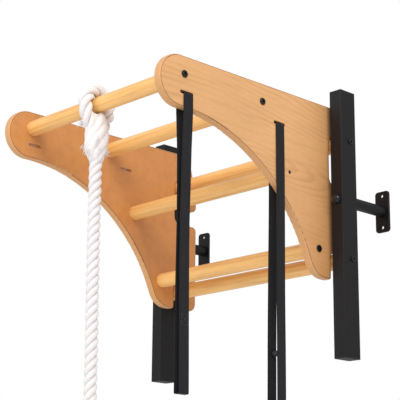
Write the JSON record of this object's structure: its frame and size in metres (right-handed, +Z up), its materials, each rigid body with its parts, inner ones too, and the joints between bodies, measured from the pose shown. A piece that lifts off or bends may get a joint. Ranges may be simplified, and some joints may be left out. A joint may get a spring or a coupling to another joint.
{
  "type": "pull up bar",
  "caption": "Wall-mounted pull-up station: arched wooden side panels with round grip bars hooked on two steel posts, with a hanging rope and webbing slings.",
  "frame": {"origin": "on the wall plane, midway between the two wall plates and level with the stand-off tubes", "axes": "+X to the right along the bars seen from the room, +Y into the wall, +Z up"},
  "size_m": [0.679, 0.721, 1.4],
  "materials": {
    "post_steel": "fine satin black powder coat",
    "cap_plastic": "matt black moulded plastic",
    "birch_panel": "clear-lacquered plywood panel with a pale hardwood face",
    "beech_bar": "clear-lacquered turned hardwood",
    "black_bolt": "black oxide steel, semi-gloss",
    "zinc_insert": "bright zinc plate",
    "rope_cotton": "soft off-white twisted cotton",
    "whipping_thread": "tightly wound thread",
    "strap_webbing": "charcoal twill webbing",
    "stitching": "dark grey box stitching"
  },
  "bodies": {
    "frame": {"right_post": "post_steel", "left_post": "post_steel", "right_top_cap": "cap_plastic", "left_top_cap": "cap_plastic", "right_bottom_cap": "cap_plastic", "left_bottom_cap": "cap_plastic", "upper_rung": "beech_bar", "lower_rung": "beech_bar", "rung_bolts": "black_bolt", "rung_inserts": "zinc_insert", "right_standoff_tube": "post_steel", "left_standoff_tube": "post_steel", "right_wall_plate": "post_steel", "left_wall_plate": "post_steel", "standoff_bolts": "black_bolt", "standoff_plugs": "zinc_insert"},
    "unit": {"right_side_panel": "birch_panel", "left_side_panel": "birch_panel", "front_bar": "beech_bar", "second_bar": "beech_bar", "third_bar": "beech_bar", "lower_bar": "beech_bar", "bar_bolts": "black_bolt", "bar_inserts": "zinc_insert", "bar_screws": "black_bolt"},
    "rope": {"rope_eye": "rope_cotton", "rope_splice": "rope_cotton", "rope_line": "rope_cotton", "rope_whipping": "whipping_thread"},
    "front_sling": {"front_strap": "strap_webbing"},
    "rear_sling": {"rear_strap": "strap_webbing", "rear_strap_stitching": "stitching"}
  },
  "joints": [
    {"name": "unit_lift", "type": "slide", "parent": "frame", "child": "unit", "axis": [0, 0, 1], "range_m": [0, 0.08]},
    {"name": "rope_swing", "type": "hinge", "parent": "unit", "child": "rope", "pos_m": [-0.017, -0.649, 0.2], "axis": [1, 0, 0], "range_deg": [-45, 25]},
    {"name": "front_sling_swing", "type": "hinge", "parent": "unit", "child": "front_sling", "pos_m": [0.2755, -0.6415, 0.1575], "axis": [1, 0, 0], "range_deg": [-6, 6]},
    {"name": "rear_sling_swing", "type": "hinge", "parent": "unit", "child": "rear_sling", "pos_m": [0.2755, -0.342, 0.158], "axis": [1, 0, 0], "range_deg": [-6, 0]}
  ]
}
